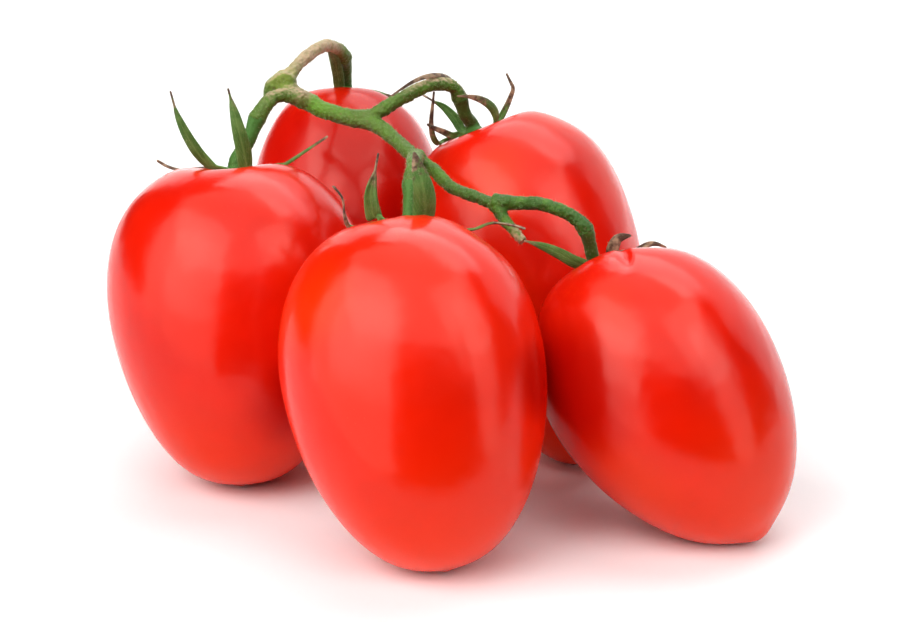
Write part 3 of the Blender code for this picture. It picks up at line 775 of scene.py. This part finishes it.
# For each sepal: its middle line from the calyx's place, its width, the way its flat side
# faces (None: the stalk), and from its tip the share that has dried and the share that has
# shrivelled to a thread.
SEPALS = {
    "left": [
        ([(-3.5, -0.8, 0.8), (-7.3, -1.8, 4.4), (-9.8, -3.0, 8.5), (-12.1, -4.0, 14.0),
          (-13.5, -4.0, 19.5)], 2.8, VIEWER, 0.16, 0.12),
        ([(1.9, -2.0, 1.6), (1.8, -3.0, 6.2), (0.8, -4.0, 12.0), (-1.0, -4.5, 20.2)],
         3.6, VIEWER, 0.12, 0.09),
        ([(-4.0, 2.8, -0.6), (-10.0, 5.4, -0.8), (-15.6, 6.5, 0.2), (-18.5, 6.5, 1.8)],
         2.0, None, 0.75, 0.00),
        ([(3.7, 2.0, -0.6), (7.0, 2.5, -0.2), (10.7, 1.0, 2.3), (15.0, 0.0, 5.3),
          (20.2, -1.5, 9.0)], 1.5, None, 0.20, 0.15),
        ([(0.5, 4.5, 0.8), (1.0, 9.0, 0.6), (1.5, 13.5, -0.4)], 2.6, None, 0.25, 0.18),
    ],
    "front": [
        ([(-3.4, 1.4, -1.0), (-6.9, 1.8, 0.2), (-8.0, 1.2, 3.8), (-8.0, 1.0, 7.2),
          (-7.2, 1.0, 10.9), (-6.5, 1.0, 14.7)], 3.7, VIEWER, 0.24, 0.16),
        ([(2.0, -1.4, 0.5), (2.5, -2.2, 3.1), (2.7, -3.2, 6.1), (2.4, -3.8, 9.1),
          (1.6, -3.8, 12.3), (0.7, -3.6, 16.0)], 4.9, VIEWER, 0.22, 0.00),
        ([(-3.8, 2.8, -1.2), (-9.4, 4.2, -1.8), (-12.6, 3.8, -1.3), (-13.5, 3.0, 1.5),
          (-13.7, 2.6, 4.2), (-14.3, 2.2, 5.8), (-15.8, 2.0, 7.7)], 1.4, VIEWER, 0.45, 0.20),
        ([(3.6, 3.0, -1.0), (8.8, 4.8, -2.0), (12.5, 4.2, -1.8), (15.3, 3.0, -0.4),
          (17.5, 2.0, 0.1), (20.7, 1.0, -0.2), (23.0, 0.5, -0.8)], 0.9, None, 0.30, 0.20),
        ([(-0.5, 4.5, 0.0), (-1.0, 9.0, -1.0), (-1.5, 13.0, -3.0)], 2.4, None, 0.25, 0.18),
    ],
    "right": [
        ([(-1.8, -1.0, 0.3), (-3.3, -2.0, 1.2), (-5.9, -3.2, 2.5), (-8.2, -4.2, 4.1),
          (-11.4, -5.2, 5.8), (-15.7, -6.0, 7.4)], 2.7, VIEWER, 0.10, 0.05),
        ([(2.7, 2.0, 1.4), (3.0, 1.8, 3.2), (3.4, 1.8, 4.6), (4.1, 2.0, 5.7),
          (5.4, 2.2, 6.1), (6.9, 2.4, 6.2)], 2.9, VIEWER, 0.95, 0.00),
        ([(5.8, 4.0, 0.0), (8.2, 5.2, 1.9), (10.1, 6.0, 3.0), (11.6, 6.6, 3.4),
          (13.4, 7.2, 3.0), (14.9, 7.6, 2.2)], 1.8, (0.0, -1.0, 0.8), 0.90, 0.00),
        ([(-0.5, 4.5, -0.2), (-1.5, 8.0, -0.8), (-2.5, 11.0, -2.8)], 2.2, None, 0.30, 0.20),
        ([(2.0, 4.8, 0.2), (4.0, 9.0, -0.6), (6.0, 12.5, -2.6)], 2.0, None, 0.35, 0.25),
    ],
    "back_right": [
        ([(-4.9, 2.4, -4.8), (-7.9, 1.5, -3.7), (-9.2, 0.5, -1.6), (-9.6, 0.0, 1.5),
          (-9.4, 0.0, 4.7), (-9.0, 0.0, 9.0)], 1.35, VIEWER, 0.50, 0.00),
        ([(-2.5, 0.8, -2.2), (-4.9, -0.3, -1.2), (-7.2, -0.5, -0.1), (-9.0, -0.5, 0.7),
          (-10.6, -0.5, 1.6)], 1.7, VIEWER, 0.50, 0.00),
        ([(-2.5, 1.5, -0.2), (-4.3, 2.5, 2.3), (-6.8, 3.0, 4.8), (-8.8, 3.0, 5.9),
          (-11.5, 3.0, 7.5)], 2.3, VIEWER, 0.22, 0.16),
        ([(3.8, -1.0, 1.0), (4.9, -1.5, 2.9), (4.5, -2.5, 5.0), (3.1, -4.0, 6.9),
          (0.8, -6.0, 8.5), (-1.9, -8.0, 9.5), (-3.9, -9.0, 9.7)], 2.2, VIEWER, 0.40, 0.05),
        ([(4.3, 0.5, 0.7), (6.0, 1.5, 2.5), (7.5, 2.0, 5.2), (8.5, 2.0, 7.7),
          (8.9, 2.0, 9.3), (8.1, 2.0, 10.9), (7.3, 2.0, 12.7)], 1.4, VIEWER, 0.52, 0.00),
        ([(-0.6, 3.0, 1.3), (-2.5, 1.5, 5.8), (-4.1, -0.5, 9.4), (-5.5, -4.0, 12.4),
          (-8.0, -8.0, 14.0), (-10.9, -11.0, 14.3), (-13.7, -14.0, 13.7),
          (-16.2, -17.0, 12.7), (-18.1, -19.5, 11.8)], 1.3, VIEWER, 0.90, 0.00),
    ],
    "back_left": [
        ([(-1.4, -2.0, 2.5), (-1.6, -5.0, 6.3), (-2.1, -9.5, 10.7), (-2.6, -15.0, 14.1),
          (-2.9, -20.0, 16.6)], 2.8, VIEWER, 0.22, 0.00),
        ([(-3.5, 3.0, 0.6), (-8.0, 7.0, -0.4), (-11.0, 10.0, -2.4)], 2.4, None, 0.30, 0.20),
        ([(3.5, 3.0, 0.6), (8.0, 7.0, -0.4), (11.0, 10.0, -2.4)], 2.4, None, 0.25, 0.18),
        ([(0.0, 4.5, 0.6), (0.0, 9.5, -0.6), (0.0, 14.0, -3.0)], 2.4, None, 0.30, 0.20),
        ([(4.5, 0.8, 0.8), (9.0, 2.4, 0.2), (13.0, 3.4, -1.4)], 2.0, None, 0.35, 0.25),
    ],
}
DISC_RADIUS = 2.2
SEPAL_THICKNESS = 0.55
SEPAL_TIP_WIDTH = 0.30
SEPAL_SPACING = 0.7
SEPAL_ACROSS = 8
SEPAL_KEEL = 0.16
SEPAL_RIM_WAVE = 0.16
SEPAL_RIB = 0.10
SEPAL_RIB_WIDTH = 0.16
SEPAL_TWIST_END = 0.45
SEPAL_CLEARANCE = 0.5
SEPAL_LYING = 0.42
SEPAL_ROOT_OUT = 0.3
STALK_FOOT_SWELL = 0.3
STALK_FOOT_LENGTH = 1.4
CALYX_VOXEL = 0.24
CALYX_SOFTENING = 3
CALYX_UNEVENNESS = (0.12, 0.10)
DISC_DOMING = 1.25

SEPAL_GREEN = (0.058, 0.160, 0.026)
SEPAL_PALE_GREEN = (0.165, 0.315, 0.085)
STALK_GREEN = (0.048, 0.145, 0.020)
SEPAL_DRY = (0.070, 0.036, 0.022)
SEPAL_DRY_PALE = (0.360, 0.250, 0.160)


def clear_of_skin(side, point):
    """The point itself, or the nearest one over it that lies clear of the fruit's skin."""
    fruit = FRUITS[side]
    seat, turn = FRUIT_PLACES[side]
    x, y, z = turn.inverted() @ (point - seat) / MM
    if math.hypot(x, y) < SEPAL_LYING * fruit["width"]:
        skin = shoulder_height(fruit, math.hypot(x, y)) + stem_end_shape(fruit, x, y)
        z = max(z, skin + SEPAL_CLEARANCE)
    return seat + turn @ (Vector((x, y, z)) * MM)


def sepal_width(share, widest, thread):
    """Blade width in mm at a share of its length: lance-shaped, with a shrivelled tip."""
    share = min(1.0, share / (1.0 - thread))
    shape = 1.32 * (1.0 - share) ** 0.8 * (0.62 + 1.15 * share)
    return max(SEPAL_TIP_WIDTH, widest * shape)


def lay_sepal(name, route, widest, axis, facing, dried, thread):
    """A flat grid laid along the sepal's line, keeled, waved at its rims and made thick.

    The mesh keeps where each point lies on the blade: across from -1 to 1, its share of the
    length from the root, and how much of the blade has dried.
    """
    rows = len(route) - 1
    bpy.ops.object.select_all(action="DESELECT")
    bpy.ops.mesh.primitive_grid_add(x_subdivisions=SEPAL_ACROSS, y_subdivisions=rows, size=1.0)
    blade = bpy.context.object
    blade.name = name
    along = lengths_along(route)
    root_side = (route[1] - route[0]).cross(axis).normalized()
    tip_side = root_side
    if facing is not None:
        tip_side = (route[-1] - route[len(route) // 2]).cross(Vector(facing)).normalized()
        if tip_side.dot(root_side) < 0.0:
            tip_side = -tip_side
    sections = []
    for i, place in enumerate(route):
        ahead = (route[min(i + 1, rows)] - route[max(i - 1, 0)]).normalized()
        share = along[i] / along[-1]
        side = root_side.lerp(tip_side, min(1.0, share / SEPAL_TWIST_END))
        side = (side - ahead * side.dot(ahead)).normalized()
        sections.append((place, side, side.cross(ahead).normalized(), share))
    marks = []
    for vertex in blade.data.vertices:
        across = 2.0 * vertex.co.x
        place, side, out, share = sections[round((vertex.co.y + 0.5) * rows)]
        half = 0.5 * sepal_width(share, widest, thread)
        wave = math.sin(share * 9.0 + widest * 7.0 + (1.6 if across > 0.0 else 0.0))
        rise = -2.0 * SEPAL_KEEL * half * (1.0 - across ** 2)
        rise += SEPAL_RIM_WAVE * half * wave * across ** 2
        rise += SEPAL_RIB * math.exp(-((across / SEPAL_RIB_WIDTH) ** 2)) * min(1.0, half)
        vertex.co = place + side * (half * across * MM) + out * (rise * MM)
        marks += [across, share, dried]
    own_place = blade.data.attributes.new("blade_place", "FLOAT_VECTOR", "POINT")
    own_place.data.foreach_set("vector", marks)
    thick = blade.modifiers.new("thickness", "SOLIDIFY")
    thick.thickness = SEPAL_THICKNESS * MM
    thick.offset = 0.0
    rounder = blade.modifiers.new("rounder", "SUBSURF")
    rounder.levels = 1
    rounder.render_levels = 1
    apply_modifiers(blade)
    bpy.ops.object.mode_set(mode="EDIT")
    bpy.ops.mesh.select_all(action="SELECT")
    bpy.ops.mesh.normals_make_consistent(inside=False)
    bpy.ops.object.mode_set(mode="OBJECT")
    bpy.ops.object.shade_smooth()
    return blade


def lay_disc(seat, axis):
    """The cushion that the sepals and the stalk grow from: a low, softly domed button."""
    bpy.ops.object.select_all(action="DESELECT")
    bpy.ops.mesh.primitive_uv_sphere_add(segments=32, ring_count=16, radius=DISC_RADIUS * MM)
    disc = bpy.context.object
    disc.scale = (1.0, 1.0, 0.5 * DISC_THICKNESS / DISC_RADIUS * DISC_DOMING)
    disc.rotation_mode = "QUATERNION"
    disc.rotation_quaternion = Vector((0.0, 0.0, 1.0)).rotation_difference(axis)
    disc.location = seat
    bpy.ops.object.transform_apply(location=True, rotation=True, scale=True)
    return disc


def make_calyx_green():
    """Leathery green with a pale midrib and side veins, drying to brown from the tips."""
    material, tree, shader = new_material("calyx_green")
    place = place_in_mm(tree)
    marks = add_node(tree, "ShaderNodeAttribute", {}, attribute_name="blade_place")
    split = add_node(tree, "ShaderNodeSeparateXYZ", {0: marks.outputs["Vector"]})
    across, share, dried = split.outputs
    light = patches(tree, place, 0.35, 3.0, 0.38, 0.66)
    colour = tint(tree, SEPAL_GREEN, SEPAL_PALE_GREEN, 0.5, light)
    off = add_node(tree, "ShaderNodeMath", {0: across}, operation="ABSOLUTE").outputs[0]
    midrib = ramp(tree, off, 0.22, 0.04, smooth=True)
    on_blade = ramp(tree, share, 0.02, 0.10)
    colour = tint(tree, colour, SEPAL_PALE_GREEN, 0.45, midrib, on_blade)
    slant = add_node(tree, "ShaderNodeMath", {0: off, 1: -0.35, 2: share},
                     operation="MULTIPLY_ADD")
    vein_wave = add_node(tree, "ShaderNodeMath", {0: times(tree, slant.outputs[0], 62.0)},
                         operation="SINE")
    vein = times(tree, ramp(tree, vein_wave.outputs[0], 0.55, 1.0), on_blade)
    colour = tint(tree, colour, SEPAL_PALE_GREEN, 0.22, vein)
    colour = mix_colours(tree, on_blade, STALK_GREEN, colour)
    ragged = patches(tree, place, 0.8, 4.0, 0.25, 0.75)
    wet = add_node(tree, "ShaderNodeMath", {0: ragged, 1: 0.22, 2: share},
                   operation="MULTIPLY_ADD")
    to_dry = add_node(tree, "ShaderNodeMath", {0: wet.outputs[0], 1: dried}, operation="ADD")
    dry = ramp(tree, to_dry.outputs[0], 1.02, 1.22, smooth=True)
    dry_mix = mix_colours(tree, patches(tree, place, 0.5, 3.0, 0.40, 0.62),
                          SEPAL_DRY, SEPAL_DRY_PALE)
    colour = mix_colours(tree, dry, colour, dry_mix)

    veined = bump(tree, 0.6, 0.10, vein)
    rough = bump(tree, 0.5, 0.16, grain(tree, place, 2.4, 4.0), veined)
    fill(tree, shader, {
        "Base Color": colour, "Roughness": 0.55, "Normal": rough,
        "Specular IOR Level": 0.35, "Sheen Weight": 0.12, "Sheen Roughness": 0.5})
    return material


def grow_calyx(side, green):
    """One fruit's cushion, short stalk and sepals."""
    axis = lean_direction(FRUITS[side])
    bottom = CALYX_PLACES[side]
    seat = calyx_seat(side)
    _, route = split_pedicel(side)
    along = lengths_along(route)
    radii = pedicel_radii(side, route, True)
    radii = [size + swell(along[-1] - s, STALK_FOOT_SWELL, STALK_FOOT_LENGTH)
             for size, s in zip(radii, along)]
    pieces = [lay_tube("stalk", route, radii), lay_disc(seat, axis)]
    core = grow_together("sepals_" + side, pieces, CALYX_VOXEL, CALYX_SOFTENING)
    roughen(core, *CALYX_UNEVENNESS)
    blades = []
    for i, (points, widest, facing, dried, thread) in enumerate(SEPALS[side]):
        line = [bottom + Vector(point) * MM for point in points]
        outward = line[0] - seat
        outward -= axis * outward.dot(axis)
        root = seat + outward.normalized() * SEPAL_ROOT_OUT * MM
        route = smooth_route([root, *line], SEPAL_SPACING * MM)
        route = [clear_of_skin(side, point) for point in route]
        blades.append(lay_sepal("blade_%d" % i, route, widest, axis, facing, dried, thread))
    join([core, *blades])
    core.data.materials.clear()
    core.data.materials.append(green)
    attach(core, "root")
    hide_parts("calyx_" + side)
    return core


CALYX_GREEN = make_calyx_green()
CALYXES = {side: grow_calyx(side, CALYX_GREEN) for side in SEPALS}


# Down covers the stem and the sepals: soft pale hairs about half a millimetre long. They blur
# the outlines and catch the light. Each hair is a little closed spike that stands on the skin.
HAIR_LENGTH = (0.30, 0.80)
HAIR_WIDTH = 0.05
HAIR_ROOT_DEPTH = 0.05
HAIR_TILT = 0.55
HAIR_ASIDE = (0.31, 0.52, 0.79)
STEM_HAIRS_PER_SQUARE_MM = 4.2
SEPAL_HAIRS_PER_SQUARE_MM = 2.0
STEM_DICE = 3
SEPAL_DICE = 11
DOWN_PALE = (0.420, 0.500, 0.280)
DOWN_GREY = (0.300, 0.330, 0.200)


def make_down():
    material, tree, shader = new_material("pale_down")
    place = place_in_mm(tree)
    colour = mix_colours(tree, patches(tree, place, 0.4, 2.0, 0.4, 0.6), DOWN_PALE, DOWN_GREY)
    fill(tree, shader, {"Base Color": colour, "Roughness": 0.6, "Specular IOR Level": 0.3})
    return material


def grow_down(name, skin, density, seed, material):
    """Stands three-sided spikes on random points of a piece's skin."""
    mesh = skin.data
    mesh.calc_loop_triangles()
    corners = np.zeros(len(mesh.vertices) * 3)
    mesh.vertices.foreach_get("co", corners)
    corners = corners.reshape(-1, 3)
    triangles = np.zeros(len(mesh.loop_triangles) * 3, dtype=np.int32)
    mesh.loop_triangles.foreach_get("vertices", triangles)
    a, b, c = (corners[triangles.reshape(-1, 3)[:, k]] for k in range(3))
    normal = np.cross(b - a, c - a)
    area = np.linalg.norm(normal, axis=1)
    normal = normal / np.maximum(area, 1e-15)[:, None]
    count = int(0.5 * area.sum() / MM ** 2 * density)
    dice = np.random.default_rng(seed)
    chosen = dice.choice(len(area), size=count, p=area / area.sum())
    u, v = dice.random((2, count, 1))
    over = u + v > 1.0
    u = np.where(over, 1.0 - u, u)
    v = np.where(over, 1.0 - v, v)
    foot = a[chosen] + u * (b - a)[chosen] + v * (c - a)[chosen]
    lean = normal[chosen] + HAIR_TILT * dice.normal(size=(count, 3))
    lean /= np.linalg.norm(lean, axis=1)[:, None]
    side = np.cross(lean, np.array(HAIR_ASIDE))
    side /= np.linalg.norm(side, axis=1)[:, None]
    other = np.cross(lean, side)
    length = dice.uniform(*HAIR_LENGTH, size=(count, 1)) * MM
    half = 0.5 * HAIR_WIDTH * MM
    foot = foot - normal[chosen] * HAIR_ROOT_DEPTH * MM
    tip = foot + lean * length
    points = np.stack([
        foot + side * half,
        foot - side * half * 0.5 + other * half * 0.87,
        foot - side * half * 0.5 - other * half * 0.87,
        tip,
    ], axis=1).reshape(-1, 3)
    spike = np.array([[0, 1, 3], [1, 2, 3], [2, 0, 3], [0, 2, 1]])
    faces = (np.arange(count)[:, None, None] * 4 + spike).reshape(-1, 3)
    down = bpy.data.meshes.new(name)
    down.from_pydata(points.tolist(), [], faces.tolist())
    thing = bpy.data.objects.new(name, down)
    bpy.context.scene.collection.objects.link(thing)
    down.materials.append(material)
    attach(thing, "root")


DOWN = make_down()
grow_down("stem_down", STEM, STEM_HAIRS_PER_SQUARE_MM, STEM_DICE, DOWN)
for number, (side, calyx) in enumerate(CALYXES.items(), SEPAL_DICE):
    grow_down("sepal_down_" + side, calyx, SEPAL_HAIRS_PER_SQUARE_MM, number, DOWN)


# The table is a plain white sheet. It runs out of sight behind and beside the fruits and ends
# in front of the picture. It takes the red glow and the soft shadows under the fruits.
TABLE_SIZE = 8.0
TABLE_FRONT = -0.11
TABLE_SUNK = 0.00003
TABLE_WHITE = (0.90, 0.90, 0.90)
TABLE_SHADE = (0.885, 0.885, 0.885)

bpy.ops.object.select_all(action="DESELECT")
bpy.ops.mesh.primitive_plane_add(
    size=TABLE_SIZE, location=(0.0, TABLE_FRONT + 0.5 * TABLE_SIZE, -TABLE_SUNK))
TABLE = bpy.context.object
TABLE.name = "table_sheet"
paper, paper_tree, paper_shader = new_material("white_sheet")
paper_place = place_in_mm(paper_tree)
paper_colour = mix_colours(paper_tree, patches(paper_tree, paper_place, 0.02, 2.0, 0.3, 0.7),
                           TABLE_WHITE, TABLE_SHADE)
fill(paper_tree, paper_shader, {
    "Base Color": paper_colour, "Roughness": 0.7, "Specular IOR Level": 0.1})
TABLE.data.materials.append(paper)


# The light is a small tent of pale cloth that is open round the camera. Wide even sources give
# the fruits their shape and whiten the table. The panels are what the wet-looking skin mirrors:
# a wall and a lamp at the left, a ceiling, a lamp and a strip at the right, and a lamp and a
# backdrop behind.
AIM = Vector((0.0, -0.02, 0.035))
WARM_CLOTH = (1.0, 0.955, 0.86)
WHITE_CLOTH = (1.0, 1.0, 1.0)

# For each panel: its bearing from the viewer's side and its height angle in degrees, its
# distance, its width and height in metres, how bright its face is, and its colour.
PANELS = {
    "left_wall": (-52.0, 17.0, 0.34, (0.48, 0.68), 2.0, WARM_CLOTH),
    "left_lamp": (-42.0, 24.0, 0.33, (0.30, 0.28), 1.1, WARM_CLOTH),
    "ceiling": (-8.0, 67.0, 0.41, (0.80, 0.66), 1.6, WARM_CLOTH),
    "right_lamp": (54.0, 38.0, 0.31, (0.21, 0.23), 1.6, WARM_CLOTH),
    "right_strip": (56.0, 15.0, 0.30, (0.11, 0.36), 1.9, WARM_CLOTH),
    "rear_lamp": (150.0, 62.0, 0.40, (0.45, 0.20), 3.0, WHITE_CLOTH),
    "backdrop": (157.0, 23.0, 0.95, (2.20, 1.00), 1.2, WHITE_CLOTH),
}

# For each wide source: its bearing, its height angle, its strength and its spread in degrees.
SOURCES = {
    "left_source": (-58.0, 35.0, 2.25, 60.0),
    "hood_source": (0.0, 48.0, 1.2, 60.0),
    "right_source": (50.0, 28.0, 0.75, 40.0),
    "rear_source": (160.0, 60.0, 1.4, 60.0),
}
ROOM_GLOW = 0.03


def towards(bearing, height):
    """The direction at a bearing from the viewer's side, to the right, and a height angle."""
    bearing = math.radians(bearing)
    height = math.radians(height)
    flat = math.cos(height)
    return Vector((flat * math.sin(bearing), -flat * math.cos(bearing), math.sin(height)))


def add_lamp(name, kind, direction):
    """A lamp that shines from a direction and that the camera doesn't see."""
    light = bpy.data.lights.new(name, kind)
    lamp = bpy.data.objects.new(name, light)
    lamp.rotation_euler = (-direction).to_track_quat("-Z", "Y").to_euler()
    lamp.visible_camera = False
    bpy.context.scene.collection.objects.link(lamp)
    return light, lamp


def hang_panel(name, direction, distance, size, glow, colour):
    """A bright rectangle that faces the fruits and shows only where the skin mirrors it."""
    light, panel = add_lamp(name, "AREA", direction)
    light.shape = "RECTANGLE"
    light.size, light.size_y = size
    light.energy = glow * math.pi * size[0] * size[1]
    light.color = colour
    panel.location = AIM + direction * distance
    panel.visible_diffuse = False


def set_source(name, direction, strength, spread):
    """Even light from one side of the tent, which shapes the fruits but isn't mirrored."""
    light, source = add_lamp(name, "SUN", direction)
    light.energy = strength
    light.angle = math.radians(spread)
    source.visible_glossy = False


for panel_name, (bearing, height, *hung) in PANELS.items():
    hang_panel(panel_name, towards(bearing, height), *hung)
for source_name, (bearing, height, *lit) in SOURCES.items():
    set_source(source_name, towards(bearing, height), *lit)

world = bpy.data.worlds.new("studio")
world.use_nodes = True
bpy.context.scene.world = world
world_tree = world.node_tree
world_tree.nodes.clear()
room = add_node(world_tree, "ShaderNodeBackground", {
    "Color": (1.0, 1.0, 1.0, 1.0), "Strength": ROOM_GLOW})
seen = add_node(world_tree, "ShaderNodeBackground", {
    "Color": (1.0, 1.0, 1.0, 1.0), "Strength": 1.0})
ray = add_node(world_tree, "ShaderNodeLightPath", {})
pick = add_node(world_tree, "ShaderNodeMixShader", {
    0: ray.outputs["Is Camera Ray"], 1: room.outputs[0], 2: seen.outputs[0]})
add_node(world_tree, "ShaderNodeOutputWorld", {0: pick.outputs[0]})

bpy.context.scene.view_settings.view_transform = "Standard"
bpy.context.scene.view_settings.look = "Medium High Contrast"


# The camera stands a little under half a metre from the fruits and looks down on them gently,
# as a photographer's short telephoto lens would on a table-top set.
LOOK_AT = Vector((2.0, 8.5, 34.0)) * MM
CAMERA_DISTANCE = 0.481
CAMERA_ELEVATION = math.radians(17.0)
CAMERA_LENS = 85.76

camera = bpy.data.cameras.new("camera")
camera.lens = CAMERA_LENS
camera.sensor_width = 36.0
camera.clip_start = 0.01
CAMERA = bpy.data.objects.new("camera", camera)
CAMERA.location = LOOK_AT + CAMERA_DISTANCE * Vector((
    0.0, -math.cos(CAMERA_ELEVATION), math.sin(CAMERA_ELEVATION)))
CAMERA.rotation_euler = (0.5 * math.pi - CAMERA_ELEVATION, 0.0, 0.0)
bpy.context.scene.collection.objects.link(CAMERA)
bpy.context.scene.camera = CAMERA
